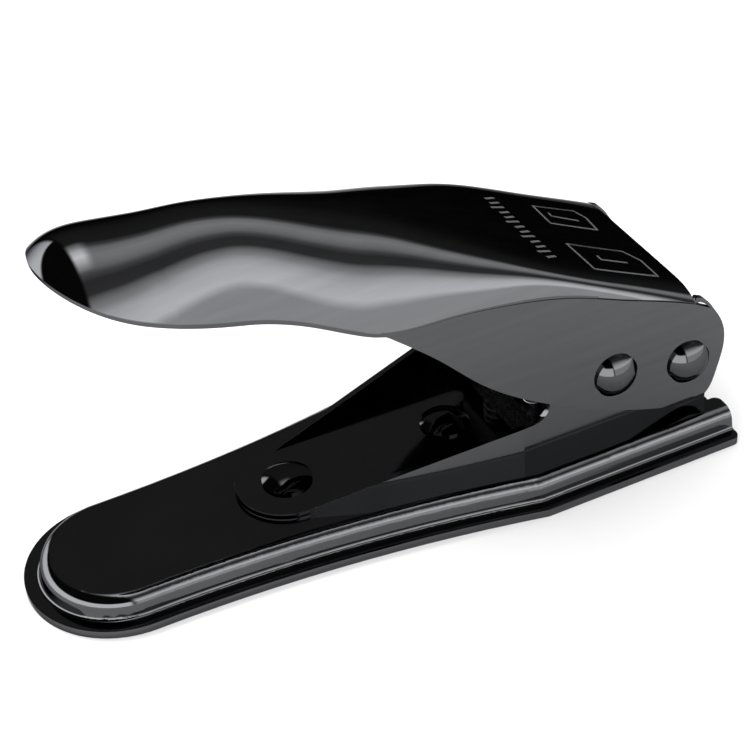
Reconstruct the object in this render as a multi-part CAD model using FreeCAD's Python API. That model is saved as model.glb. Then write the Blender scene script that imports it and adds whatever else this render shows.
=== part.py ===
import FreeCAD
import Part
import math
import os

# Plier-type card cutter. Millimetres. +Z up, X runs from the base nose (X = 0) to the card mouth (X = BASE_L).
# Every dimension is measured from the base nose; the finished solids are moved back by CENTRE_X, so the
# origin is on the table at the centre of the tool's overall length, on the symmetry plane Y = 0.
# The tool is modelled open, which is where its springs hold it.

V = FreeCAD.Vector
UP = V(0, 0, 1)
ACROSS = V(0, 1, 0)

CENTRE_X = 68.0

# Base tray: one pressed sheet with a flat flange and a raised plateau.
BASE_L = 135.6
BASE_HALF_W = 27.0
NOSE_R = 18.0
BEND_X = 93.0
TRAY_T = 1.6
PLATEAU_Z = 5.8
WALL_FOOT = 2.8
WALL_HEAD = 3.5
PLATEAU_FILLET = 2.5
FOOT_FILLET = 0.7
REAR_CORNER_R = 1.6
MOUTH_X = 133.4
MOUTH_HALF_W = 18.6
MOUTH_LIP_R = 1.4

# Frame bracket: folded channel riveted on the plateau.
BR_T = 1.2
FLOOR_Z = PLATEAU_Z + BR_T
TONGUE_X = 52.0
TONGUE_R = 10.0
SHOULDER_X = 53.0
EAR_OUT = 17.9
EAR_IN = EAR_OUT - BR_T
BR_END = 133.0
WALL_TOP_BEND = 14.5
EAR_FRONT = 98.6
EAR_FRONT_R = 3.6
EAR_TOP = 26.5
EAR_REAR = 133.4
EAR_CORNER = 5.0

# Rivets on the plateau.
BASE_RIVET_X = (52.0, 85.4)
RIVET_HEAD_R = 4.8
RIVET_RIM = 0.45
RIVET_DOME = 1.2
RIVET_SHANK_R = 2.2
RIVET_TAIL_R = 3.3
RIVET_TAIL_H = 0.8

# Handle pivot and drive pin.
PIVOT_X = 127.9
PIVOT_Z = 17.7
DRIVE_X = 111.9
DRIVE_Z = 20.8
SWING = 22.0
CHEEK_OUT = 19.4
HANDLE_T = 1.2
CHEEK_IN = CHEEK_OUT - HANDLE_T
PIN_HEAD_R = 4.4
PIN_HEAD_RIM = 0.5
PIN_HEAD_DOME = 2.2
PIVOT_R = 2.0
DRIVE_R = 1.5
SLEEVE_R = 2.0
RUN_FIT = 0.05
HEAD_GAP = 0.05
SPACER_R = 3.2
EAR_SLOT_GAP = 0.6

# Card tooling stack between the ears.
TOOL_X0 = 98.0
DIE_X1 = 133.0
TOOL_HALF_W = EAR_IN - 0.1
DIE_TOP = FLOOR_Z + 2.0
GUIDE_TOP = DIE_TOP + 1.0
STRIP_TOP = GUIDE_TOP + 1.2
STRIP_X1 = 128.0
STOP_X = 104.0
SLOT_IN = 0.55
SLOT_OUT = 15.75
SLOT_MID = (SLOT_IN + SLOT_OUT) / 2
TAB_X = (120.5, 125.5)
TAB_OUT = EAR_OUT - 0.2
NOTCH_R = 6.0
PUNCH_X = 113.0
MICRO = (15.0, 12.0, 2.5)
NANO = (12.3, 8.8, 1.65)
DIE_FIT = 0.03
STRIP_FIT = 0.06
DROP_GAP = 0.6
SCREW_X = 101.0
SCREW_Y = (-14.3, 0.0, 14.3)
SCREW_R = 1.0
SCREW_HEAD_R = 1.9
SCREW_HEAD_H = 1.2
SOCKET_R = 0.75

# Guide posts, springs and the punch block.
POST_X = 101.0
POST_Y = (-8.0, 8.0)
POST_R = 1.25
POST_TOP = 24.4
BLOCK_X1 = 123.2
BLOCK_HALF_W = EAR_IN - 0.2
BLOCK_Z0 = 17.6
BLOCK_Z1 = 25.0
POCKET_R = 2.9
POCKET_TOP = 22.6
BUSH_R = 1.75
SPRING_R = 2.15
WIRE_R = 0.28
SPRING_TURNS = 6.5
PUNCH_TIP = 10.7
PUNCH_SCREW_X = (108.2, 117.0)
PUNCH_SCREW_DEPTH = 2.8

# Handle shell: crest height, edge height and half width along X in the open position.
CREST = ((12.5, 80.5), (25.0, 73.2), (39.5, 71.2), (54.0, 67.7), (65.0, 63.5), (75.0, 59.4), (85.0, 54.8),
         (98.0, 48.5), (112.0, 41.5), (128.5, 33.6), (138.0, 29.0))
EDGE = ((12.5, 69.6), (25.0, 62.4), (39.5, 56.8), (54.0, 52.6), (66.5, 47.6), (78.0, 46.4), (88.5, 45.1),
        (96.0, 43.6), (104.5, 41.0), (113.0, 37.4), (121.5, 34.0), (129.0, 30.6), (138.0, 25.8))
NOSE_HALF_W = 15.8
WAIST_HALF_W = 14.4
WAIST_X = (30.0, 43.0)
CHEEK_START_X = 66.5
NOSE_X = 12.3
NOSE_LEN = 19.3
NOSE_POWER = 1.25
SQUARENESS = ((12.5, 2.3), (48.0, 2.3), (60.0, 2.5), (70.0, 3.0), (80.0, 4.4), (90.0, 7.5), (100.0, 13.0),
              (112.0, 20.0), (138.0, 22.0))
BEAD = 0.9
BEAD_X = (60.0, 98.0)
CREST_SLANT = 1.12
LIP = 0.8
TOP_REAR_X = 128.5
TOP_TILT = 30.0
NOTCH_W = 1.6
NOTCH_D = 2.2
NOTCH_Z = (29.6, 36.0)
GRID_X = 48
GRID_Y = 41
GRID_BIAS = 0.55
NOSE_OVER = 0.9
SIDE_OVER = (1.06, 1.02)
TOP_END_X = 137.5
FAR = 60.0

# Side view of the cheek below the grip: front edge, underside, lobe round the pivot and rear edge.
CHEEK_FRONT = ((66.0, 47.0), (69.3, 44.1), (75.9, 38.0), (83.6, 29.9), (91.7, 23.4), (100.0, 18.3), (108.7, 13.8),
               (117.6, 10.3), (125.0, 7.9))
CHEEK_REAR = ((128.6, 7.2), (132.2, 8.6), (134.5, 13.4), (135.8, 18.4), (135.9, 21.6), (134.8, 25.4), (132.6, 29.2),
              (129.6, 32.4))


def box(x0, x1, y0, y1, z0, z1):
    return Part.makeBox(x1 - x0, y1 - y0, z1 - z0, V(x0, y0, z0))


def rod(x, y, z0, z1, r):
    return Part.makeCylinder(r, z1 - z0, V(x, y, z0), UP)


def cross_rod(x, z, half, r):
    return Part.makeCylinder(r, 2 * half, V(x, -half, z), ACROSS)


def polygon(points):
    return Part.makePolygon(points + [points[0]])


def plate(points, z0, z1):
    flat = [V(x, y, z0) for x, y in points]
    return Part.Face(polygon(flat)).extrude(V(0, 0, z1 - z0))


def cut_all(shape, tools):
    for tool in tools:
        shape = shape.cut(tool)
    return shape.removeSplitter()


def dome(x, y, z, r, rim, height):
    # Low spherical cap on a short cylinder, rising from z.
    ball_r = (r * r + height * height) / (2 * height)
    cap = Part.makeSphere(ball_r, V(x, y, z + rim + height - ball_r))
    keep = rod(x, y, z + rim, z + rim + height, r)
    return rod(x, y, z, z + rim, r).fuse(cap.common(keep)).removeSplitter()


def side_arc_radius():
    run = BEND_X - NOSE_R
    rise = BASE_HALF_W - NOSE_R
    return (run * run + rise * rise) / (2 * rise)


def tray_wire(inset, z, x_end):
    # Base outline moved inwards by inset: round nose, concave flanks, straight rear.
    big = side_arc_radius()
    rise = BASE_HALF_W - NOSE_R
    half = BASE_HALF_W - inset
    reach = math.sqrt((big + inset) ** 2 - (big - rise + inset) ** 2)
    bend = NOSE_R + reach
    nose = NOSE_R - inset
    mid_x = NOSE_R + reach / 2
    mid_y = NOSE_R + big - math.sqrt((big + inset) ** 2 - (reach / 2) ** 2)
    edges = []
    for s in (-1, 1):
        start = V(bend, s * half, z)
        end = V(NOSE_R, s * nose, z)
        edges.append(Part.LineSegment(V(x_end, s * half, z), start).toShape())
        edges.append(Part.Arc(start, V(mid_x, s * mid_y, z), end).toShape())
    edges.append(Part.Arc(V(NOSE_R, -nose, z), V(inset, 0, z), V(NOSE_R, nose, z)).toShape())
    edges.append(Part.LineSegment(V(x_end, -half, z), V(x_end, half, z)).toShape())
    return Part.Wire(Part.__sortEdges__(edges))


def edges_at(shape, z, x_max, tol=0.02):
    found = []
    for edge in shape.Edges:
        b = edge.BoundBox
        if abs(b.ZMin - z) < tol and abs(b.ZMax - z) < tol and b.XMin < x_max:
            found.append(edge)
    return found


def tray_hump(extra, top, x_end, lower):
    foot = tray_wire(WALL_FOOT + extra, lower, x_end)
    head = tray_wire(WALL_HEAD + extra, top, x_end)
    return Part.makeLoft([foot, head], True, True)


def card_shape(size, y_mid, grow, z0, z1):
    # Rectangle with one cut corner, the outline of a telephone card.
    lx, ly, cut = size
    x0 = PUNCH_X - lx / 2 - grow
    x1 = PUNCH_X + lx / 2 + grow
    y0 = y_mid - ly / 2 - grow
    y1 = y_mid + ly / 2 + grow
    pts = [(x0, y0), (x1 - cut, y0), (x1, y0 + cut), (x1, y1), (x0, y1)]
    return plate(pts, z0, z1)


def card_pair(grow, z0, z1):
    return [card_shape(MICRO, -SLOT_MID, grow, z0, z1), card_shape(NANO, SLOT_MID, grow, z0, z1)]


def finger_notches(z0, z1):
    return [rod(BASE_L, s * SLOT_MID, z0, z1, NOTCH_R) for s in (-1, 1)]


def screw_holes(z0, z1, r):
    return [rod(SCREW_X, y, z0, z1, r) for y in SCREW_Y]


def base_tray():
    flange = Part.Face(tray_wire(0, 0, BASE_L)).extrude(V(0, 0, TRAY_T))
    corners = []
    for edge in flange.Edges:
        b = edge.BoundBox
        upright = b.ZMax - b.ZMin > TRAY_T / 2
        if upright and b.XMin > BASE_L - TRAY_T:
            corners.append(edge)
    flange = flange.makeFillet(REAR_CORNER_R, corners)
    hump = tray_hump(0, PLATEAU_Z, BASE_L, TRAY_T / 2)
    hump = hump.makeFillet(PLATEAU_FILLET, edges_at(hump, PLATEAU_Z, BASE_L - TRAY_T))
    skin = flange.fuse(hump).removeSplitter()
    skin = skin.makeFillet(FOOT_FILLET, foot_edges(skin))
    hollow = tray_hump(TRAY_T, PLATEAU_Z - TRAY_T, BASE_L + TRAY_T, -TRAY_T)
    holes = [rod(x, 0, 0, PLATEAU_Z + 1, RIVET_SHANK_R) for x in BASE_RIVET_X]
    holes += card_pair(DROP_GAP, 0, PLATEAU_Z + 1) + finger_notches(0, PLATEAU_Z + 1)
    holes += screw_holes(0, PLATEAU_Z + 1, SCREW_R)
    body = cut_all(skin, [hollow, mouth_recess()])
    lips = [edge for edge in body.Edges if is_mouth_corner(edge)]
    return cut_all(body.makeFillet(MOUTH_LIP_R, lips), holes)


def mouth_recess():
    # Shallow step in the rear edge in front of the card mouth.
    return box(MOUTH_X, BASE_L + TRAY_T, -MOUTH_HALF_W, MOUTH_HALF_W, -TRAY_T, PLATEAU_Z + TRAY_T)


def is_mouth_corner(edge):
    b = edge.BoundBox
    upright = b.XLength < 0.01 and b.YLength < 0.01 and b.ZMin > TRAY_T
    return upright and abs(b.XMin - BASE_L) < 0.1 and abs(abs(b.Center.y) - MOUTH_HALF_W) < 0.1


def foot_edges(skin):
    # Inside corner between the flange and the wall of the plateau.
    found = []
    for edge in edges_at(skin, TRAY_T, BASE_L - TRAY_T):
        mid = edge.valueAt((edge.FirstParameter + edge.LastParameter) / 2)
        probe = Part.Vertex(mid)
        if probe.distToShape(tray_wire(0, TRAY_T, BASE_L))[0] > WALL_FOOT / 2 and mid.x < BASE_L - TRAY_T:
            found.append(edge)
    return found


def wall_strip(s):
    outer = [(SHOULDER_X, s * TONGUE_R), (BEND_X, s * EAR_OUT), (BASE_L, s * EAR_OUT)]
    inner = [(BASE_L, s * EAR_IN), (BEND_X, s * EAR_IN), (SHOULDER_X, s * (TONGUE_R - BR_T))]
    return plate(outer + inner, PLATEAU_Z, EAR_TOP + 1)


def ear_profile():
    # Side view of a bracket wall: a low rising flank, then the ear.
    k = math.sqrt(0.5)
    r = EAR_FRONT_R
    c = EAR_CORNER
    sweep_x = EAR_FRONT - r
    sweep_z = WALL_TOP_BEND + 0.1 + r
    low = PLATEAU_Z
    edges = [
        Part.LineSegment(V(SHOULDER_X, 0, low), V(SHOULDER_X, 0, FLOOR_Z)),
        Part.LineSegment(V(SHOULDER_X, 0, FLOOR_Z), V(BEND_X, 0, WALL_TOP_BEND)),
        Part.LineSegment(V(BEND_X, 0, WALL_TOP_BEND), V(sweep_x, 0, sweep_z - r)),
        Part.Arc(V(sweep_x, 0, sweep_z - r), V(sweep_x + r * k, 0, sweep_z - r * k), V(EAR_FRONT, 0, sweep_z)),
        Part.LineSegment(V(EAR_FRONT, 0, sweep_z), V(EAR_FRONT, 0, EAR_TOP - c)),
        Part.Arc(V(EAR_FRONT, 0, EAR_TOP - c), V(EAR_FRONT + c - c * k, 0, EAR_TOP - c + c * k),
                 V(EAR_FRONT + c, 0, EAR_TOP)),
        Part.LineSegment(V(EAR_FRONT + c, 0, EAR_TOP), V(EAR_REAR - c, 0, EAR_TOP)),
        Part.Arc(V(EAR_REAR - c, 0, EAR_TOP), V(EAR_REAR - c + c * k, 0, EAR_TOP - c + c * k),
                 V(EAR_REAR, 0, EAR_TOP - c)),
        Part.LineSegment(V(EAR_REAR, 0, EAR_TOP - c), V(EAR_REAR, 0, FLOOR_Z + r)),
        Part.LineSegment(V(EAR_REAR, 0, FLOOR_Z + r), V(BR_END, 0, low)),
        Part.LineSegment(V(BR_END, 0, low), V(SHOULDER_X, 0, low)),
    ]
    wire = Part.Wire([edge.toShape() for edge in edges])
    face = Part.Face(wire)
    face.translate(V(0, -FAR, 0))
    return face.extrude(V(0, 2 * FAR, 0))


def swing_slot():
    # Curved window that the drive sleeve sweeps through as the handle closes.
    reach = math.hypot(DRIVE_X - PIVOT_X, DRIVE_Z - PIVOT_Z)
    start = math.atan2(DRIVE_Z - PIVOT_Z, DRIVE_X - PIVOT_X)
    half = SLEEVE_R + EAR_SLOT_GAP
    steps = 12
    slot = None
    for i in range(steps + 1):
        angle = start + math.radians(SWING) * i / steps
        x = PIVOT_X + reach * math.cos(angle)
        z = PIVOT_Z + reach * math.sin(angle)
        disc = cross_rod(x, z, FAR, half)
        slot = disc if slot is None else slot.fuse(disc)
    mid = (start + start + math.radians(SWING)) / 2
    x0 = PIVOT_X + reach * math.cos(mid)
    z0 = PIVOT_Z + reach * math.sin(start + math.radians(SWING))
    band = box(x0 - half + 0.15, x0 + half, -FAR, FAR, z0, DRIVE_Z)
    return slot.fuse(band).removeSplitter()


def frame_bracket():
    disc = rod(TONGUE_X, 0, PLATEAU_Z, FLOOR_Z, TONGUE_R)
    outline = [(TONGUE_X, -TONGUE_R), (SHOULDER_X, -TONGUE_R), (BEND_X, -EAR_OUT), (BR_END, -EAR_OUT),
               (BR_END, EAR_OUT), (BEND_X, EAR_OUT), (SHOULDER_X, TONGUE_R), (TONGUE_X, TONGUE_R)]
    body = disc.fuse(plate(outline, PLATEAU_Z, FLOOR_Z))
    for s in (-1, 1):
        body = body.fuse(wall_strip(s).common(ear_profile()))
    body = body.removeSplitter()
    holes = [rod(x, 0, 0, FLOOR_Z + 1, RIVET_SHANK_R) for x in BASE_RIVET_X]
    holes += card_pair(DROP_GAP, 0, FLOOR_Z + 1) + finger_notches(0, FLOOR_Z + 1)
    holes += screw_holes(0, FLOOR_Z + 1, SCREW_R)
    holes.append(cross_rod(PIVOT_X, PIVOT_Z, FAR, PIVOT_R))
    holes.append(swing_slot())
    holes.append(box(TAB_X[0] - 0.1, TAB_X[1] + 0.1, -FAR, FAR, GUIDE_TOP, STRIP_TOP))
    return cut_all(body, holes)


def base_rivet(x):
    head = dome(x, 0, FLOOR_Z, RIVET_HEAD_R, RIVET_RIM, RIVET_DOME)
    under = PLATEAU_Z - TRAY_T
    shank = rod(x, 0, under - RIVET_TAIL_H, FLOOR_Z, RIVET_SHANK_R)
    tail = rod(x, 0, under - RIVET_TAIL_H, under, RIVET_TAIL_R)
    tail = tail.makeChamfer(RIVET_TAIL_H / 3, edges_at(tail, under - RIVET_TAIL_H, BASE_L))
    return head.fuse(shank).fuse(tail).removeSplitter()


def tooling_blank(x1, z0, z1):
    return box(TOOL_X0, x1, -TOOL_HALF_W, TOOL_HALF_W, z0, z1)


def die_plate():
    body = tooling_blank(DIE_X1, FLOOR_Z, DIE_TOP)
    holes = card_pair(DIE_FIT, 0, FAR) + finger_notches(0, FAR) + screw_holes(0, FAR, SCREW_R)
    holes += [rod(POST_X, y, 0, FAR, POST_R) for y in POST_Y]
    return cut_all(body, holes)


def card_guide():
    body = tooling_blank(DIE_X1, DIE_TOP, GUIDE_TOP)
    slots = [box(STOP_X, BASE_L, SLOT_IN, SLOT_OUT, 0, FAR), box(STOP_X, BASE_L, -SLOT_OUT, -SLOT_IN, 0, FAR)]
    holes = screw_holes(0, FAR, SCREW_R) + [rod(POST_X, y, 0, FAR, POST_R) for y in POST_Y]
    return cut_all(body, slots + holes)


def stripper_plate():
    body = tooling_blank(STRIP_X1, GUIDE_TOP, STRIP_TOP)
    body = body.fuse(box(TAB_X[0], TAB_X[1], -TAB_OUT, TAB_OUT, GUIDE_TOP, STRIP_TOP)).removeSplitter()
    holes = card_pair(STRIP_FIT, 0, FAR) + screw_holes(0, FAR, SCREW_R)
    holes += [rod(POST_X, y, 0, FAR, POST_R) for y in POST_Y]
    return cut_all(body, holes)


def guide_posts():
    posts = []
    for y in POST_Y:
        post = rod(POST_X, y, FLOOR_Z, POST_TOP, POST_R)
        posts.append(post.makeChamfer(POST_R / 4, edges_at(post, POST_TOP, BASE_L)))
    return Part.makeCompound(posts)


def return_spring(y):
    z0 = STRIP_TOP + WIRE_R
    height = POCKET_TOP - STRIP_TOP - 2 * WIRE_R
    helix = Part.makeHelix(height / SPRING_TURNS, height, SPRING_R)
    start = helix.Edges[0].valueAt(helix.Edges[0].FirstParameter)
    circle = Part.Wire([Part.makeCircle(WIRE_R, start, ACROSS)])
    coil = Part.Wire(helix.Edges).makePipeShell([circle], True, True)
    coil.translate(V(POST_X, y, z0))
    return coil


def die_screws():
    under = PLATEAU_Z - TRAY_T
    screws = []
    for y in SCREW_Y:
        head = rod(SCREW_X, y, under - SCREW_HEAD_H, under, SCREW_HEAD_R)
        shank = rod(SCREW_X, y, under, STRIP_TOP, SCREW_R)
        socket = rod(SCREW_X, y, under - SCREW_HEAD_H, under - SCREW_HEAD_H / 2, SOCKET_R)
        screws.append(head.fuse(shank).cut(socket).removeSplitter())
    return Part.makeCompound(screws)


def cheek_rivet(x, z, r):
    # Domed head at each cheek on one straight shank.
    gap = CHEEK_OUT + (HEAD_GAP if r == PIVOT_R else 0)
    head = dome(0, 0, gap, PIN_HEAD_R, PIN_HEAD_RIM, PIN_HEAD_DOME)
    upper = head.copy()
    upper.rotate(V(0, 0, 0), V(1, 0, 0), 90)
    lower = head.copy()
    lower.rotate(V(0, 0, 0), V(1, 0, 0), -90)
    upper.translate(V(x, 0, z))
    lower.translate(V(x, 0, z))
    return cross_rod(x, z, gap, r).fuse(upper).fuse(lower).removeSplitter()


def pivot_rivet():
    return cheek_rivet(PIVOT_X, PIVOT_Z, PIVOT_R)


def drive_rivet():
    return cheek_rivet(DRIVE_X, DRIVE_Z, DRIVE_R)


def pivot_spacer():
    return cross_rod(PIVOT_X, PIVOT_Z, EAR_IN, SPACER_R).cut(cross_rod(PIVOT_X, PIVOT_Z, FAR, PIVOT_R))


def drive_sleeve():
    return cross_rod(DRIVE_X, DRIVE_Z, CHEEK_IN, SLEEVE_R).cut(cross_rod(DRIVE_X, DRIVE_Z, FAR, DRIVE_R))


def punch_block():
    body = box(TOOL_X0, BLOCK_X1, -BLOCK_HALF_W, BLOCK_HALF_W, BLOCK_Z0, BLOCK_Z1)
    body = body.makeChamfer(0.5, edges_at(body, BLOCK_Z1, BASE_L))
    holes = []
    drift = math.hypot(DRIVE_X - PIVOT_X, DRIVE_Z - PIVOT_Z) - (PIVOT_X - DRIVE_X)
    eye_r = SLEEVE_R + RUN_FIT
    for x in (DRIVE_X - drift - RUN_FIT, DRIVE_X + RUN_FIT):
        holes.append(cross_rod(x, DRIVE_Z, FAR, eye_r))
    holes.append(box(DRIVE_X - drift - RUN_FIT, DRIVE_X + RUN_FIT, -FAR, FAR, DRIVE_Z - eye_r, DRIVE_Z + eye_r))
    for y in POST_Y:
        holes.append(rod(POST_X, y, 0, POCKET_TOP, POCKET_R))
        holes.append(rod(POST_X, y, 0, FAR, BUSH_R))
    for x in PUNCH_SCREW_X:
        for s in (-1, 1):
            holes.append(rod(x, s * SLOT_MID, 0, FAR, SCREW_R))
    return cut_all(body, holes)


def guide_bushes():
    bushes = []
    for y in POST_Y:
        tube = rod(POST_X, y, POCKET_TOP, BLOCK_Z1, BUSH_R).cut(rod(POST_X, y, 0, FAR, POST_R + RUN_FIT))
        bushes.append(tube)
    return Part.makeCompound(bushes)


def punch(size, s):
    body = card_shape(size, s * SLOT_MID, 0, PUNCH_TIP, BLOCK_Z0)
    holes = [rod(x, s * SLOT_MID, BLOCK_Z0 - PUNCH_SCREW_DEPTH, FAR, SCREW_R) for x in PUNCH_SCREW_X]
    return cut_all(body, holes)


def micro_punch():
    return punch(MICRO, -1)


def nano_punch():
    return punch(NANO, 1)


def punch_screws():
    screws = []
    for x in PUNCH_SCREW_X:
        for s in (-1, 1):
            shank = rod(x, s * SLOT_MID, BLOCK_Z0 - PUNCH_SCREW_DEPTH, BLOCK_Z1, SCREW_R)
            head = rod(x, s * SLOT_MID, BLOCK_Z1, BLOCK_Z1 + SCREW_HEAD_H, SCREW_HEAD_R)
            top = BLOCK_Z1 + SCREW_HEAD_H
            socket = rod(x, s * SLOT_MID, top - SCREW_HEAD_H / 2, top, SOCKET_R)
            screws.append(shank.fuse(head).cut(socket).removeSplitter())
    return Part.makeCompound(screws)


class Curve:
    # Natural cubic spline y(x) through a few stations.
    def __init__(self, stations):
        self.x = [p[0] for p in stations]
        self.y = [p[1] for p in stations]
        n = len(self.x)
        diag = [1.0] * n
        upper = [0.0] * n
        right = [0.0] * n
        for i in range(1, n - 1):
            h0 = self.x[i] - self.x[i - 1]
            h1 = self.x[i + 1] - self.x[i]
            slope = (self.y[i + 1] - self.y[i]) / h1 - (self.y[i] - self.y[i - 1]) / h0
            pivot = 2 * (h0 + h1) - h0 * upper[i - 1]
            diag[i] = pivot
            upper[i] = h1 / pivot
            right[i] = (6 * slope - h0 * right[i - 1]) / pivot
        self.m = [0.0] * n
        for i in range(n - 2, 0, -1):
            self.m[i] = right[i] - upper[i] * self.m[i + 1]

    def at(self, x):
        i = 0
        while i < len(self.x) - 2 and x > self.x[i + 1]:
            i += 1
        h = self.x[i + 1] - self.x[i]
        a = (self.x[i + 1] - x) / h
        b = 1 - a
        bend = (a ** 3 - a) * self.m[i] + (b ** 3 - b) * self.m[i + 1]
        return a * self.y[i] + b * self.y[i + 1] + bend * h * h / 6


def ease(x, x0, x1):
    t = min(1.0, max(0.0, (x - x0) / (x1 - x0)))
    return t * t * (3 - 2 * t)


CREST_LINE = Curve(CREST)
EDGE_LINE = Curve(EDGE)
POWER_LINE = Curve(SQUARENESS)


def bead(x):
    # How far the rounded shoulder stands out from the cheek below it.
    return BEAD * ease(x, BEAD_X[0], BEAD_X[1])


def half_width(x):
    grip = NOSE_HALF_W + (WAIST_HALF_W - NOSE_HALF_W) * ease(x, NOSE_X, WAIST_X[0])
    return grip + (CHEEK_OUT - WAIST_HALF_W) * ease(x, WAIST_X[1], CHEEK_START_X)


def arch_height(x, y, inset):
    # Pressed top surface, or its underside at the given inset. The share is 0 on the crest and 1 at the rim.
    back = NOSE_X + NOSE_LEN
    nose = max(0.0, (back - x) / (NOSE_LEN - inset)) ** NOSE_POWER
    share = math.hypot(nose, y / (half_width(x) + bead(x) - inset))
    top = CREST_LINE.at(x) - inset * CREST_SLANT
    low = EDGE_LINE.at(x) + bead(x) - inset / 2
    return low + (top - low) * (1 - share ** POWER_LINE.at(x))


def arch_body(inset):
    # Everything below the pressed top surface.
    rows = []
    x_first = NOSE_X - NOSE_OVER
    for i in range(GRID_X):
        t = i / (GRID_X - 1)
        x = x_first + (TOP_END_X - x_first) * (GRID_BIAS * t * t + (1 - GRID_BIAS) * t)
        over = SIDE_OVER[0] + (SIDE_OVER[1] - SIDE_OVER[0]) * ease(x, BEAD_X[0], BEAD_X[1])
        row = []
        for j in range(GRID_Y):
            s = math.sin(math.radians(90) * (2 * j / (GRID_Y - 1) - 1)) * over
            y = s * (half_width(x) + bead(x))
            row.append(V(x, y, arch_height(x, y, inset)))
        rows.append(row)
    surface = Part.BSplineSurface()
    surface.interpolate(rows)
    return surface.toShape().extrude(V(0, 0, -FAR - FAR))


def cheek_relief(half):
    # The space outside both cheeks, below the rounded shoulder.
    x0 = BEAD_X[0] + 1
    x1 = BASE_L + NOSE_R
    steps = 20
    stations = [x0 + (x1 - x0) * i / steps for i in range(steps + 1)]
    line = Part.BSplineCurve()
    line.interpolate([V(x, 0, EDGE_LINE.at(x)) for x in stations])
    a = line.value(line.FirstParameter)
    b = line.value(line.LastParameter)
    edges = [
        line.toShape(),
        Part.LineSegment(b, V(b.x, 0, -FAR)).toShape(),
        Part.LineSegment(V(b.x, 0, -FAR), V(a.x, 0, -FAR)).toShape(),
        Part.LineSegment(V(a.x, 0, -FAR), a).toShape(),
    ]
    face = Part.Face(Part.Wire(edges))
    tools = []
    for y in (-FAR, half):
        side = face.copy()
        side.translate(V(0, y, 0))
        tools.append(side.extrude(V(0, FAR - half, 0)))
    return tools


def plan_body(inset):
    # Handle outline seen from above.
    tip = NOSE_X + inset
    length = NOSE_LEN - inset
    back = NOSE_X + NOSE_LEN
    steps = 14
    nose = []
    for i in range(steps + 1):
        angle = math.radians(90) * i / steps
        x = back - length * math.sin(angle) ** (1 / NOSE_POWER)
        nose.append((x, (half_width(x) - inset) * math.cos(angle)))
    nose[-1] = (tip, 0.0)
    flank = []
    samples = 26
    for i in range(samples):
        x = BEAD_X[1] + (back - BEAD_X[1]) * i / samples
        flank.append((x, half_width(x) + bead(x) - inset))
    side = [V(x, y, 0) for x, y in flank + nose]
    other = [V(p.x, -p.y, 0) for p in reversed(side[:-1])]
    front = Part.BSplineCurve()
    front.interpolate(side + other)
    half = CHEEK_OUT + BEAD - inset
    rear = BASE_L + NOSE_R
    edges = [
        front.toShape(),
        Part.LineSegment(V(BEAD_X[1], -half, 0), V(rear, -half, 0)).toShape(),
        Part.LineSegment(V(rear, -half, 0), V(rear, half, 0)).toShape(),
        Part.LineSegment(V(rear, half, 0), V(BEAD_X[1], half, 0)).toShape(),
    ]
    return Part.Face(Part.Wire(edges)).extrude(V(0, 0, 2 * FAR))


def side_body():
    # Handle outline seen from the side.
    rim = []
    for x in (NOSE_X - 2, NOSE_X + 6, 24.0, 32.0, 40.0, 48.0, 56.0):
        rim.append(V(x, 0, EDGE_LINE.at(x) - LIP))
    front = [V(x, 0, z) for x, z in CHEEK_FRONT]
    lower = Part.BSplineCurve()
    lower.interpolate(rim + front)
    rear = Part.BSplineCurve()
    rear.interpolate([V(x, 0, z) for x, z in CHEEK_REAR])
    a = rim[0]
    b = front[-1]
    c = V(CHEEK_REAR[0][0], 0, CHEEK_REAR[0][1])
    d = V(CHEEK_REAR[-1][0], 0, CHEEK_REAR[-1][1])
    tilt = math.radians(TOP_TILT)
    e = V(TOP_REAR_X - 0.4, 0, d.z - 0.4)
    f = V(e.x + FAR * math.sin(tilt), 0, e.z + FAR * math.cos(tilt))
    g = V(a.x, 0, f.z)
    edges = [
        lower.toShape(),
        Part.LineSegment(b, c).toShape(),
        rear.toShape(),
        Part.LineSegment(d, e).toShape(),
        Part.LineSegment(e, f).toShape(),
        Part.LineSegment(f, g).toShape(),
        Part.LineSegment(g, a).toShape(),
    ]
    face = Part.Face(Part.Wire(edges))
    face.translate(V(0, -FAR, 0))
    return face.extrude(V(0, 2 * FAR, 0))


def handle_shell():
    outer = cut_all(arch_body(0).common(plan_body(0)), cheek_relief(CHEEK_OUT))
    inner = cut_all(arch_body(HANDLE_T).common(plan_body(HANDLE_T)), cheek_relief(CHEEK_IN))
    shell = outer.common(side_body()).cut(inner)
    holes = [cross_rod(PIVOT_X, PIVOT_Z, FAR, PIVOT_R + RUN_FIT), cross_rod(DRIVE_X, DRIVE_Z, FAR, DRIVE_R)]
    for s in (-1, 1):
        y0 = s * CHEEK_OUT - NOTCH_W / 2
        x0 = TOP_REAR_X - NOTCH_D
        holes.append(box(x0, x0 + 2 * NOTCH_D, y0, y0 + NOTCH_W, NOTCH_Z[0], NOTCH_Z[1]))
    return cut_all(shell, holes)


NODES = {
    "base_tray": base_tray,
    "frame_bracket": frame_bracket,
    "front_base_rivet": lambda: base_rivet(BASE_RIVET_X[0]),
    "rear_base_rivet": lambda: base_rivet(BASE_RIVET_X[1]),
    "die_plate": die_plate,
    "card_guide": card_guide,
    "stripper_plate": stripper_plate,
    "guide_posts": guide_posts,
    "left_return_spring": lambda: return_spring(POST_Y[0]),
    "right_return_spring": lambda: return_spring(POST_Y[1]),
    "die_screws": die_screws,
    "pivot_rivet": pivot_rivet,
    "pivot_spacer": pivot_spacer,
    "handle_shell": handle_shell,
    "drive_rivet": drive_rivet,
    "drive_sleeve": drive_sleeve,
    "punch_block": punch_block,
    "guide_bushes": guide_bushes,
    "micro_punch": micro_punch,
    "nano_punch": nano_punch,
    "punch_screws": punch_screws,
}

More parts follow.
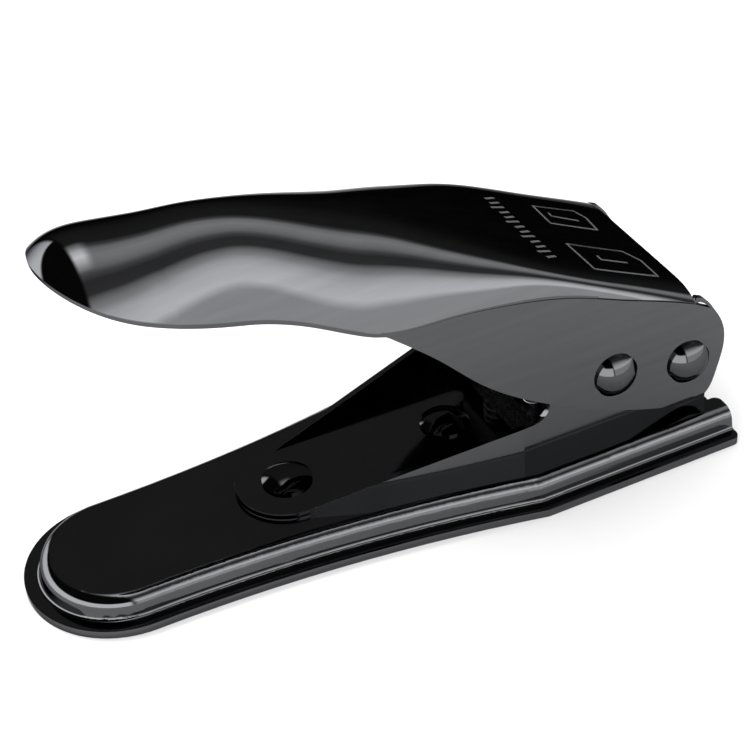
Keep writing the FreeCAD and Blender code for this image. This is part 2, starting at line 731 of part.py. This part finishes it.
os.makedirs("parts", exist_ok=True)
for name, build in NODES.items():
    shape = build()
    shape.translate(V(-CENTRE_X, 0, 0))
    span = shape.BoundBox
    print(name, len(shape.Solids), round(shape.Volume, 1), shape.isValid(), round(span.XMin, 2), round(span.XMax, 2))
    shape.exportStep("parts/" + name + ".step")
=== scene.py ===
import bpy
import math
from mathutils import Matrix, Vector


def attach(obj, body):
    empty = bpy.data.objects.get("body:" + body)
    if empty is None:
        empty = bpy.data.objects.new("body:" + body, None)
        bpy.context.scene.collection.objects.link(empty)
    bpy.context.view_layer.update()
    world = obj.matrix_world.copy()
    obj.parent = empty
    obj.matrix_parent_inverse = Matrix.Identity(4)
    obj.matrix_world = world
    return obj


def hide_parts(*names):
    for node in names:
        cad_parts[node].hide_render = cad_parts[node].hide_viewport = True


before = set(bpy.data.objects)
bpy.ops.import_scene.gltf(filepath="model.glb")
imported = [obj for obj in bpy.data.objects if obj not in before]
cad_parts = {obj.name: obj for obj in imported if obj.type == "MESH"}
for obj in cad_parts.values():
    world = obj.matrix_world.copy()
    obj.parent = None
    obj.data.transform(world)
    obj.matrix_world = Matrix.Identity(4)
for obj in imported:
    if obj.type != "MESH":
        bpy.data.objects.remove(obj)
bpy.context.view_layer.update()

# Sizes and places of the object are in millimetres from the nose of the base, as in the CAD source,
# and place() turns them into the frame's metres. The stage, lights and camera are in metres.
CENTRE_X = 68.0

# The pressed handle from the side, at rest: its crest line, and its widest line on each side.
CREST = ((12.5, 80.5), (25.0, 73.2), (39.5, 71.2), (54.0, 67.7), (65.0, 63.5), (75.0, 59.4),
         (85.0, 54.8), (98.0, 48.5), (112.0, 41.5), (128.5, 33.6), (138.0, 29.0))
EDGE = ((12.5, 69.6), (25.0, 62.4), (39.5, 56.8), (54.0, 52.6), (66.5, 47.6), (78.0, 46.4), (88.5, 45.1),
        (96.0, 43.6), (104.5, 41.0), (113.0, 37.4), (121.5, 34.0), (129.0, 30.6), (138.0, 25.8))
# Power of the cross section by x: 2 is round, and a high one is a flat top with tight shoulders.
SQUARENESS = ((12.5, 2.3), (48.0, 2.3), (60.0, 2.5), (70.0, 3.0), (80.0, 4.4), (90.0, 7.5),
              (100.0, 13.0), (112.0, 13.0), (138.0, 7.0))
NOSE_X = 12.3
NOSE_LEN = 19.3
NOSE_POWER = 1.25
NOSE_HALF_W = 15.8
WAIST_HALF_W = 14.4
CHEEK_OUT = 19.4
WAIST_X = (30.0, 43.0)
CHEEK_START_X = 66.5
TOP_REAR_X = 128.5
HANDLE_T = 1.2
# The top grows out over the cheeks by BEAD, between these two places.
BEAD = 0.6
BEAD_X = (60.0, 98.0)
# Ahead of the cheek's tip the side ends LIP below the widest line.
LIP = 0.8
CHEEK_TIP_X = 64.0
CHEEK_FRONT = ((66.0, 47.0), (69.3, 44.1), (75.9, 38.0), (83.6, 29.9), (91.7, 23.4), (100.0, 18.3),
               (108.7, 13.8), (117.6, 10.3), (125.0, 7.9))
CHEEK_REAR = ((128.6, 7.2), (132.2, 8.6), (134.5, 13.4), (135.8, 18.4), (135.9, 21.6), (134.8, 25.4),
              (133.3, 28.0))
# A strip closes the corner between the back of each cheek and the top.
FLANGE_OUT = ((133.3, 28.0), (132.6, 29.2), (131.8, 30.3), (130.8, 31.3), (129.3, 32.0))
FLANGE_IN = ((132.7, 28.3), (131.8, 29.3), (131.0, 30.1), (130.1, 30.7), (128.5, 30.9))

# How finely the handle's skin is divided.
SIDE_STEPS = 150
NOSE_STEPS = 44
RINGS = 40
CROWDED_RINGS = 3
RING_POWER = 0.9
SHOULDER_TURNS = (30, 60, 90)
OUTLINE_STEPS = 160
CHEEK_ROWS = 14
SKIN_WELD = 0.01
SKIN_CREASE = math.radians(42)

# The outlines printed on the top: a large card and a small one, each with a tick, and a row of bars.
NEAR_CARD = ((110.0, -4.9), (121.9, -5.2), (124.0, -8.3), (124.0, -14.3), (110.2, -14.4))
FAR_CARD = ((111.8, 10.8), (120.9, 11.1), (122.2, 8.6), (121.7, 3.4), (111.6, 3.7))
NEAR_TICK = ((114.4, -8.5), (114.3, -10.0), (120.0, -10.0))
FAR_TICK = ((113.9, 8.5), (113.8, 7.2), (119.5, 6.6))
STROKE = 0.45
STROKE_STEP = 0.7
PROUD = 0.06
BARS = 13
LONG_BAR_EVERY = 3
BAR_FIRST_Y = -11.8
BAR_SPAN_Y = 23.0
BAR_FRONT_X = 101.6
LONG_BAR_FRONT_X = 100.8
BAR_REAR_X = 104.0
BAR_SLANT_Y = (-0.4, 0.6)
BAR_STROKE = 0.55

# The broken edges of the bent sheet parts.
EDGE_BREAK = 0.16
EDGE_BREAK_STEPS = 2
EDGE_BREAK_FROM = math.radians(40)
SHEET_CREASE = math.radians(50)
SHEET_WELD = 0.002


def place(x, y, z):
    return (x - CENTRE_X) / 1000, y / 1000, z / 1000


def new_object(name, verts, faces, smooth=True):
    mesh = bpy.data.meshes.new(name)
    mesh.from_pydata([place(*v) for v in verts], [], faces)
    mesh.validate()
    mesh.update()
    obj = bpy.data.objects.new(name, mesh)
    bpy.context.scene.collection.objects.link(obj)
    for poly in mesh.polygons:
        poly.use_smooth = smooth
    return obj


def grid_faces(rows, cols, base=0, flip=False):
    faces = []
    for i in range(rows - 1):
        for j in range(cols - 1):
            a = base + i * cols + j
            quad = (a, a + 1, a + cols + 1, a + cols)
            faces.append(quad[::-1] if flip else quad)
    return faces


# ---------------------------------------------------------------- materials
NOISE_DETAIL = 6.0
NOISE_RANGE = (0.3, 0.7)
BUMP_HEIGHT = 0.00002


def node(tree, kind, **values):
    made = tree.nodes.new(kind)
    for key, value in values.items():
        setattr(made, key, value)
    return made


def metal(name, dark, light, rough, scale, stretch=(1, 1, 1), bump=0.0, metallic=1.0, edge=1.0):
    # Shade and roughness drift with a noise. edge scales what is mirrored at grazing angles.
    mat = bpy.data.materials.new(name)
    mat.use_nodes = True
    tree = mat.node_tree
    shader = tree.nodes["Principled BSDF"]
    shader.inputs["Metallic"].default_value = metallic
    shader.inputs["Specular Tint"].default_value = (edge, edge, edge, 1)
    coord = node(tree, "ShaderNodeTexCoord")
    mapping = node(tree, "ShaderNodeMapping")
    mapping.inputs["Scale"].default_value = stretch
    tree.links.new(coord.outputs["Object"], mapping.inputs["Vector"])
    noise = node(tree, "ShaderNodeTexNoise")
    noise.inputs["Scale"].default_value = scale
    noise.inputs["Detail"].default_value = NOISE_DETAIL
    tree.links.new(mapping.outputs["Vector"], noise.inputs["Vector"])
    tone = node(tree, "ShaderNodeMapRange")
    tone.inputs["From Min"].default_value, tone.inputs["From Max"].default_value = NOISE_RANGE
    tone.inputs["To Min"].default_value, tone.inputs["To Max"].default_value = rough
    tree.links.new(noise.outputs["Fac"], tone.inputs["Value"])
    tree.links.new(tone.outputs["Result"], shader.inputs["Roughness"])
    ramp = node(tree, "ShaderNodeValToRGB")
    for stop, position, colour in zip(ramp.color_ramp.elements, NOISE_RANGE, (dark, light)):
        stop.position = position
        stop.color = (*colour, 1)
    tree.links.new(noise.outputs["Fac"], ramp.inputs["Fac"])
    tree.links.new(ramp.outputs["Color"], shader.inputs["Base Color"])
    if bump:
        relief = node(tree, "ShaderNodeBump")
        relief.inputs["Strength"].default_value = bump
        relief.inputs["Distance"].default_value = BUMP_HEIGHT
        tree.links.new(noise.outputs["Fac"], relief.inputs["Height"])
        tree.links.new(relief.outputs["Normal"], shader.inputs["Normal"])
    return mat


DRAWN_ALONG_X = (0.04, 1, 1)
GROUND_ALONG_X = (0.06, 1, 1)
CHROME = metal("black_chrome", dark=(0.075, 0.076, 0.080), light=(0.084, 0.085, 0.089),
               rough=(0.06, 0.09), scale=60.0, edge=0.45)
CHROME_GRIP = metal("black_chrome_drawn", dark=(0.079, 0.080, 0.084), light=(0.088, 0.089, 0.093),
                    rough=(0.03, 0.055), scale=520.0, stretch=DRAWN_ALONG_X, bump=0.02, edge=0.28)
CHROME_FRAME = metal("black_chrome_bracket", dark=(0.075, 0.076, 0.080), light=(0.084, 0.085, 0.089),
                     rough=(0.06, 0.10), scale=80.0, edge=0.45)
CHROME_RIVET = metal("black_chrome_rivet", dark=(0.055, 0.056, 0.059), light=(0.064, 0.065, 0.068),
                     rough=(0.04, 0.07), scale=120.0, edge=0.5)
INK = metal("satin_grey_print", dark=(0.05, 0.05, 0.051), light=(0.075, 0.075, 0.076),
            rough=(0.4, 0.55), scale=900.0, metallic=0.3)
STEEL = metal("gunmetal_tool_steel", dark=(0.05, 0.05, 0.053), light=(0.085, 0.085, 0.088),
              rough=(0.22, 0.34), scale=1200.0, stretch=GROUND_ALONG_X, bump=0.2)
# Painted shade: the springs inside are coloured far darker than spring steel, as the shade of the
# mechanism's unlit inside.
SPRING_PAINTED_SHADE = metal("spring_steel", dark=(0.08, 0.08, 0.085), light=(0.12, 0.12, 0.125),
               rough=(0.18, 0.28), scale=1500.0)
# Black oxide finish and painted shade: the punch block is coloured near black, also as the shade of the
# mechanism's unlit inside.
BLOCK_OXIDE_AND_PAINTED_SHADE = metal("black_oxide_and_painted_shade", dark=(0.02, 0.02, 0.022), light=(0.035, 0.035, 0.038),
              rough=(0.35, 0.5), scale=1400.0, bump=0.2)
BRONZE = metal("bronze", dark=(0.2, 0.12, 0.055), light=(0.3, 0.19, 0.09),
               rough=(0.25, 0.4), scale=1200.0)
# Painted shade: the screws inside are coloured far darker than zinc plate, as the shade of the mechanism's
# unlit inside.
ZINC_PAINTED_SHADE = metal("zinc_plated_painted_shade", dark=(0.08, 0.082, 0.087), light=(0.12, 0.122, 0.127),
             rough=(0.2, 0.32), scale=1000.0)

NODE_LOOK = {
    "base_tray": CHROME, "frame_bracket": CHROME_FRAME, "front_base_rivet": CHROME_RIVET,
    "rear_base_rivet": CHROME_RIVET, "die_plate": STEEL, "card_guide": SPRING_PAINTED_SHADE, "stripper_plate": STEEL,
    "guide_posts": SPRING_PAINTED_SHADE, "left_return_spring": SPRING_PAINTED_SHADE, "right_return_spring": SPRING_PAINTED_SHADE, "die_screws": ZINC_PAINTED_SHADE,
    "pivot_rivet": CHROME_RIVET, "pivot_spacer": STEEL, "handle_shell": CHROME, "drive_rivet": CHROME_RIVET,
    "drive_sleeve": STEEL, "punch_block": BLOCK_OXIDE_AND_PAINTED_SHADE, "guide_bushes": BRONZE, "micro_punch": STEEL,
    "nano_punch": STEEL, "punch_screws": ZINC_PAINTED_SHADE,
}


def set_look(obj, mat):
    obj.data.materials.clear()
    obj.data.materials.append(mat)


# ---------------------------------------------------------------- handle skin
class Curve:
    # Natural cubic spline y(x) through a few stations.
    def __init__(self, stations):
        self.x = [p[0] for p in stations]
        self.y = [p[1] for p in stations]
        n = len(self.x)
        upper = [0.0] * n
        right = [0.0] * n
        for i in range(1, n - 1):
            h0 = self.x[i] - self.x[i - 1]
            h1 = self.x[i + 1] - self.x[i]
            slope = (self.y[i + 1] - self.y[i]) / h1 - (self.y[i] - self.y[i - 1]) / h0
            pivot = 2 * (h0 + h1) - h0 * upper[i - 1]
            upper[i] = h1 / pivot
            right[i] = (6 * slope - h0 * right[i - 1]) / pivot
        self.m = [0.0] * n
        for i in range(n - 2, 0, -1):
            self.m[i] = right[i] - upper[i] * self.m[i + 1]

    def at(self, x):
        i = 0
        while i < len(self.x) - 2 and x > self.x[i + 1]:
            i += 1
        h = self.x[i + 1] - self.x[i]
        a = (self.x[i + 1] - x) / h
        b = 1 - a
        bend = (a ** 3 - a) * self.m[i] + (b ** 3 - b) * self.m[i + 1]
        return a * self.y[i] + b * self.y[i + 1] + bend * h * h / 6


def ease(x, x0, x1):
    t = min(1.0, max(0.0, (x - x0) / (x1 - x0)))
    return t * t * (3 - 2 * t)


CREST_LINE = Curve(CREST)
EDGE_LINE = Curve(EDGE)
POWER_LINE = Curve(SQUARENESS)
BACK_X = NOSE_X + NOSE_LEN


def half_width(x):
    grip = NOSE_HALF_W + (WAIST_HALF_W - NOSE_HALF_W) * ease(x, NOSE_X, WAIST_X[0])
    return grip + (CHEEK_OUT - WAIST_HALF_W) * ease(x, WAIST_X[1], CHEEK_START_X)


def bead(x):
    return BEAD * ease(x, *BEAD_X)


def arch_z(x, rho):
    # Height of the top, where rho goes from 0 on the middle line to 1 on the widest line.
    crest = CREST_LINE.at(x)
    edge = EDGE_LINE.at(x) + bead(x)
    return edge + (crest - edge) * (1 - rho ** POWER_LINE.at(x))


def running_length(points):
    total = [0.0]
    for a, b in zip(points, points[1:]):
        total.append(total[-1] + math.hypot(b[0] - a[0], b[1] - a[1]))
    return total


def smooth_path(points, steps):
    # Points at even lengths along a spline through the given ones.
    dist = running_length(points)
    cx = Curve([(d, p[0]) for d, p in zip(dist, points)])
    cz = Curve([(d, p[1]) for d, p in zip(dist, points)])
    return [(cx.at(dist[-1] * i / steps), cz.at(dist[-1] * i / steps)) for i in range(steps + 1)]


def skin_row(rho):
    # One line of the skin, from the rear along the near side, round the nose and back on the far side.
    xs = [TOP_REAR_X + (BACK_X - TOP_REAR_X) * i / SIDE_STEPS for i in range(SIDE_STEPS + 1)]
    row = [(x, -rho * (half_width(x) + bead(x))) for x in xs]
    for i in range(1, NOSE_STEPS):
        a = math.pi * (i / NOSE_STEPS - 0.5)
        x = BACK_X - NOSE_LEN * max(0.0, rho * math.cos(a)) ** (1 / NOSE_POWER)
        row.append((x, rho * half_width(x) * math.sin(a)))
    row += [(x, rho * (half_width(x) + bead(x))) for x in reversed(xs)]
    return [(x, y, arch_z(x, rho)) for x, y in row]


def rolled_row(rim, turn):
    # The shoulder rolls under from the widest line to the crease above the cheek.
    row = []
    for x, y, z in rim:
        b = bead(x)
        row.append((x, y - math.copysign(b * (1 - math.cos(turn)), y), z - b * math.sin(turn)))
    return row


def point_along(path, length, share):
    want = share * length[-1]
    i = 0
    while i < len(length) - 2 and want > length[i + 1]:
        i += 1
    t = (want - length[i]) / (length[i + 1] - length[i])
    return [path[i][k] + (path[i + 1][k] - path[i][k]) * t for k in (0, 1)]


def side_rows(crease):
    # Rows from the crease down to the grip's lip and, behind the cheek's tip, to the cheek's outline.
    tip = (CHEEK_TIP_X, EDGE_LINE.at(CHEEK_TIP_X) - LIP)
    path = [tip] + smooth_path(CHEEK_FRONT + CHEEK_REAR, OUTLINE_STEPS)
    length = running_length(path)
    rows = []
    for k in range(1, CHEEK_ROWS + 1):
        f = k / CHEEK_ROWS
        for x, y, z in crease:
            if x <= CHEEK_TIP_X:
                rows.append((x, y, z - LIP * f))
                continue
            bx, bz = point_along(path, length, (x - CHEEK_TIP_X) / (TOP_REAR_X - CHEEK_TIP_X))
            by = math.copysign(half_width(bx), y)
            rows.append((x + (bx - x) * f, y + (by - y) * f, z + (bz - z) * f))
    return rows


def build_handle():
    # The last rings crowd together beside the widest line, so only that line itself is kept of them.
    verts = []
    for i in range(RINGS - CROWDED_RINGS + 1):
        verts += skin_row(math.sin(math.pi / 2 * i / RINGS) ** RING_POWER)
    rim = skin_row(1.0)
    verts += rim
    shoulder = [rolled_row(rim, math.radians(turn)) for turn in SHOULDER_TURNS]
    verts += sum(shoulder, [])
    verts += side_rows(shoulder[-1])
    faces = grid_faces(len(verts) // len(rim), len(rim))
    for side in (-CHEEK_OUT, CHEEK_OUT):
        start = len(verts)
        verts += [(x, side, z) for x, z in FLANGE_OUT + FLANGE_IN]
        faces += grid_faces(2, len(FLANGE_OUT), start, side > 0)
    obj = new_object("handle_skin", verts, faces)
    obj.modifiers.new("weld", "WELD").merge_threshold = SKIN_WELD / 1000
    thick = obj.modifiers.new("sheet", "SOLIDIFY")
    thick.thickness = HANDLE_T / 1000
    thick.offset = -1
    thick.use_even_offset = False
    obj.modifiers.new("crisp", "EDGE_SPLIT").split_angle = SKIN_CREASE
    set_look(obj, CHROME_GRIP)
    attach(obj, "handle")
    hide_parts("handle_shell")


# ---------------------------------------------------------------- printed marks
def on_top(x, y, lift):
    # The point of the pressed top at x, y, raised by lift.
    return x, y, arch_z(x, abs(y) / (half_width(x) + bead(x))) + lift


def stroke(verts, faces, points, width):
    # A thin raised line that follows the pressed top.
    dense = []
    for (x0, y0), (x1, y1) in zip(points, points[1:]):
        steps = max(1, int(math.hypot(x1 - x0, y1 - y0) / STROKE_STEP))
        dense += [(x0 + (x1 - x0) * i / steps, y0 + (y1 - y0) * i / steps) for i in range(steps)]
    dense.append(points[-1])
    base = len(verts)
    last = len(dense) - 1
    section = ((1, -PROUD), (1, PROUD), (-1, PROUD), (-1, -PROUD))
    for i, (x, y) in enumerate(dense):
        a = dense[max(0, i - 1)]
        b = dense[min(last, i + 1)]
        size = math.hypot(b[0] - a[0], b[1] - a[1])
        nx = -(b[1] - a[1]) / size * width / 2
        ny = (b[0] - a[0]) / size * width / 2
        for side, lift in section:
            verts.append(on_top(x + side * nx, y + side * ny, lift))
    faces += grid_faces(len(dense), len(section), base)


def build_marks():
    verts, faces = [], []
    for ring in (NEAR_CARD, FAR_CARD):
        stroke(verts, faces, ring + ring[:2], STROKE)
    for line in (NEAR_TICK, FAR_TICK):
        stroke(verts, faces, line, STROKE)
    for i in range(BARS):
        y = BAR_FIRST_Y + BAR_SPAN_Y * i / (BARS - 1)
        front = LONG_BAR_FRONT_X if i % LONG_BAR_EVERY == 1 else BAR_FRONT_X
        stroke(verts, faces, ((front, y + BAR_SLANT_Y[0]), (BAR_REAR_X, y + BAR_SLANT_Y[1])), BAR_STROKE)
    obj = new_object("top_marks", verts, faces, smooth=False)
    set_look(obj, INK)
    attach(obj, "handle")


def soften(name):
    # Breaks the sheared edges so that they catch a line of light.
    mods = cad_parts[name].modifiers
    mods.new("join", "WELD").merge_threshold = SHEET_WELD / 1000
    bevel = mods.new("edge_break", "BEVEL")
    bevel.width = EDGE_BREAK / 1000
    bevel.segments = EDGE_BREAK_STEPS
    bevel.limit_method = "ANGLE"
    bevel.angle_limit = EDGE_BREAK_FROM
    mods.new("crisp", "EDGE_SPLIT").split_angle = SHEET_CREASE


# ---------------------------------------------------------------- stage
FLOOR_HALF = 1.5
FLOOR_FAR_Y = 0.4
FLOOR_ROUGHNESS = 0.9
FLOOR_SPECULAR = 0.1
# The floor's colour is a little darker near the object, a painted shade around it. Its tone changes over
# this reach from a core line under the object, which goes FLOOR_CORE to each side.
FLOOR_TONE_AND_PAINTED_SHADE = (0.70, 0.74)
FLOOR_REACH = (0.085, 0.135)
FLOOR_CORE = 0.06
FLOOR_NOISE = 3.0
FLOOR_WANDER = 0.004

# What reflections see: (angle in degrees, brightness), from the far horizon over the top to the near one.
SOFTBOXES = ((0, 0.075), (60, 0.075), (68, 0.35), (75, 1.15), (86, 1.5), (96, 1.3), (103, 1.0), (109, 0.45),
             (116, 0.18), (127, 0.2), (132, 1.1), (137, 1.8), (141, 2.7), (147, 3.5), (155, 3.9),
             (157.5, 2.9), (159.5, 2.1), (180, 2.05))
GLINT = ((0, 0.0), (56, 0.0), (68, 1.4), (84, 3.4), (97, 1.2), (106, 0.0), (180, 0.0))
# Each of these pairs is a soft step in a direction's x or z: off at the first value, on at the second.
SOFTBOX_STEP_X = (-0.14, -0.02)
GLINT_STEP_X = (0.30, 0.13)
LEFT_BOX_STEP_X = (-0.10, -0.20)
LEFT_BOX_STEP_Z = (0.54, 0.46)
LEFT_BOX = 4.0
DARK_ROOM = 0.015
# A ramp's colours stay below 1, so they hold brightness as a part of PEAK.
PEAK = 6.0
GLOSS = 1.25
DOME = 1.8
KEY_AT = (-0.35, 0.6, 0.7)
KEY_SIZE = 0.3
KEY_POWER = 4.5

CAMERA_AZIMUTH = math.radians(-23.43)
CAMERA_ELEVATION = math.radians(37.23)
CAMERA_ROLL = math.radians(-4.59)
CAMERA_DISTANCE = 0.3705
CAMERA_LENS = 94.77
CAMERA_SENSOR = 36
CAMERA_CLIP = (0.01, 20)
CAMERA_AIM = (-0.0005, 0, 0.01558)
# How far the aim then moves in the picture.
AIM_RIGHT = 0.00317
AIM_UP = 0.00793


def math_node(tree, operation, a, b=None):
    made = node(tree, "ShaderNodeMath", operation=operation)
    for socket, value in zip(made.inputs, (a, b)):
        if value is None:
            continue
        if isinstance(value, (int, float)):
            socket.default_value = value
        else:
            tree.links.new(value, socket)
    return made.outputs[0]


def light_profile(tree, turn, stops):
    # A new ramp has two stops, so the others are added before all get their place.
    ramp = node(tree, "ShaderNodeValToRGB")
    made = ramp.color_ramp.elements
    for _ in stops[2:]:
        made.new(0.5)
    for stop, (angle, value) in zip(made, stops):
        stop.position = angle / 180
        stop.color = (value / PEAK,) * 3 + (1,)
    tree.links.new(turn, ramp.inputs["Fac"])
    return ramp.outputs["Color"]


def soft_step(tree, value, off, on):
    step = node(tree, "ShaderNodeMapRange", interpolation_type="SMOOTHSTEP")
    step.inputs["From Min"].default_value = off
    step.inputs["From Max"].default_value = on
    tree.links.new(value, step.inputs["Value"])
    return step.outputs["Result"]


def paper_floor():
    mat = bpy.data.materials.new("paper_floor")
    mat.use_nodes = True
    tree = mat.node_tree
    shader = tree.nodes["Principled BSDF"]
    shader.inputs["Roughness"].default_value = FLOOR_ROUGHNESS
    shader.inputs["Specular IOR Level"].default_value = FLOOR_SPECULAR
    coord = node(tree, "ShaderNodeTexCoord")
    split = node(tree, "ShaderNodeSeparateXYZ")
    tree.links.new(coord.outputs["Object"], split.inputs["Vector"])
    along = math_node(tree, "SUBTRACT", math_node(tree, "ABSOLUTE", split.outputs["X"]), FLOOR_CORE)
    along = math_node(tree, "MAXIMUM", along, 0.0)
    joined = node(tree, "ShaderNodeCombineXYZ")
    tree.links.new(along, joined.inputs["X"])
    tree.links.new(split.outputs["Y"], joined.inputs["Y"])
    reach = node(tree, "ShaderNodeVectorMath", operation="LENGTH")
    tree.links.new(joined.outputs["Vector"], reach.inputs[0])
    noise = node(tree, "ShaderNodeTexNoise")
    noise.inputs["Scale"].default_value = FLOOR_NOISE
    tree.links.new(coord.outputs["Object"], noise.inputs["Vector"])
    wander = math_node(tree, "MULTIPLY", noise.outputs["Fac"], FLOOR_WANDER)
    # Painted shade: the floor's colour darkens towards the object over FLOOR_REACH, with a noisy edge.
    spread = soft_step(tree, math_node(tree, "ADD", reach.outputs["Value"], wander), *FLOOR_REACH)
    ramp = node(tree, "ShaderNodeValToRGB")
    for stop, shade in zip(ramp.color_ramp.elements, FLOOR_TONE_AND_PAINTED_SHADE):
        stop.color = (shade,) * 3 + (1,)
    tree.links.new(spread, ramp.inputs["Fac"])
    tree.links.new(ramp.outputs["Color"], shader.inputs["Base Color"])
    return mat


def build_stage():
    mesh = bpy.data.meshes.new("floor")
    corners = [(-FLOOR_HALF, -FLOOR_HALF, 0), (FLOOR_HALF, -FLOOR_HALF, 0),
               (FLOOR_HALF, FLOOR_FAR_Y, 0), (-FLOOR_HALF, FLOOR_FAR_Y, 0)]
    mesh.from_pydata(corners, [], [(0, 1, 2, 3)])
    floor = bpy.data.objects.new("floor", mesh)
    bpy.context.scene.collection.objects.link(floor)
    mesh.materials.append(paper_floor())


def build_key_light():
    data = bpy.data.lights.new("key_box", "AREA")
    data.shape = "SQUARE"
    data.size = KEY_SIZE
    data.energy = KEY_POWER
    key = bpy.data.objects.new("key_box", data)
    bpy.context.scene.collection.objects.link(key)
    key.location = KEY_AT
    key.rotation_euler = (-Vector(KEY_AT)).to_track_quat("-Z", "Y").to_euler()
    key.visible_glossy = False


def build_room():
    # An even dome lights the scene, while reflections see soft boxes in a dark room instead.
    world = bpy.data.worlds.new("studio")
    bpy.context.scene.world = world
    world.use_nodes = True
    tree = world.node_tree
    dome = tree.nodes["Background"]
    dome.inputs["Color"].default_value = (1, 1, 1, 1)
    dome.inputs["Strength"].default_value = DOME
    coord = node(tree, "ShaderNodeTexCoord")
    split = node(tree, "ShaderNodeSeparateXYZ")
    tree.links.new(coord.outputs["Generated"], split.inputs["Vector"])
    x, y, z = (split.outputs[k] for k in "XYZ")
    turn = math_node(tree, "DIVIDE", math_node(tree, "ARCTAN2", math_node(tree, "ABSOLUTE", z), y), math.pi)
    glint = math_node(tree, "MULTIPLY", light_profile(tree, turn, GLINT), soft_step(tree, x, *GLINT_STEP_X))
    bands = math_node(tree, "ADD", light_profile(tree, turn, SOFTBOXES), glint)
    bands = math_node(tree, "MULTIPLY", bands, soft_step(tree, x, *SOFTBOX_STEP_X))
    left = soft_step(tree, x, *LEFT_BOX_STEP_X)
    low = soft_step(tree, z, *LEFT_BOX_STEP_Z)
    box = math_node(tree, "MULTIPLY", math_node(tree, "MULTIPLY", left, low), LEFT_BOX / PEAK)
    total = math_node(tree, "ADD", math_node(tree, "ADD", bands, box), DARK_ROOM / PEAK)
    mirror = node(tree, "ShaderNodeBackground")
    tree.links.new(total, mirror.inputs["Color"])
    mirror.inputs["Strength"].default_value = PEAK * GLOSS
    path = node(tree, "ShaderNodeLightPath")
    pick = node(tree, "ShaderNodeMixShader")
    tree.links.new(path.outputs["Is Glossy Ray"], pick.inputs["Fac"])
    tree.links.new(dome.outputs["Background"], pick.inputs[1])
    tree.links.new(mirror.outputs["Background"], pick.inputs[2])
    tree.links.new(pick.outputs["Shader"], tree.nodes["World Output"].inputs["Surface"])


def build_camera():
    level = math.cos(CAMERA_ELEVATION)
    back = Vector((math.sin(CAMERA_AZIMUTH) * level, -math.cos(CAMERA_AZIMUTH) * level,
                   math.sin(CAMERA_ELEVATION)))
    flat_side = Vector((math.cos(CAMERA_AZIMUTH), math.sin(CAMERA_AZIMUTH), 0))
    flat_up = back.cross(flat_side)
    side = flat_side * math.cos(CAMERA_ROLL) + flat_up * math.sin(CAMERA_ROLL)
    up = flat_up * math.cos(CAMERA_ROLL) - flat_side * math.sin(CAMERA_ROLL)
    aim = Vector(CAMERA_AIM) + side * AIM_RIGHT + up * AIM_UP
    data = bpy.data.cameras.new("camera")
    data.lens = CAMERA_LENS
    data.sensor_width = CAMERA_SENSOR
    data.clip_start, data.clip_end = CAMERA_CLIP
    cam = bpy.data.objects.new("camera", data)
    bpy.context.scene.collection.objects.link(cam)
    turn = Matrix((side, up, back)).transposed().to_4x4()
    cam.matrix_world = Matrix.Translation(aim + back * CAMERA_DISTANCE) @ turn
    bpy.context.scene.camera = cam


for name, mat in NODE_LOOK.items():
    set_look(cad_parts[name], mat)
build_handle()
build_marks()
soften("base_tray")
soften("frame_bracket")
build_stage()
build_room()
build_key_light()
build_camera()
bpy.context.scene.view_settings.view_transform = "Standard"
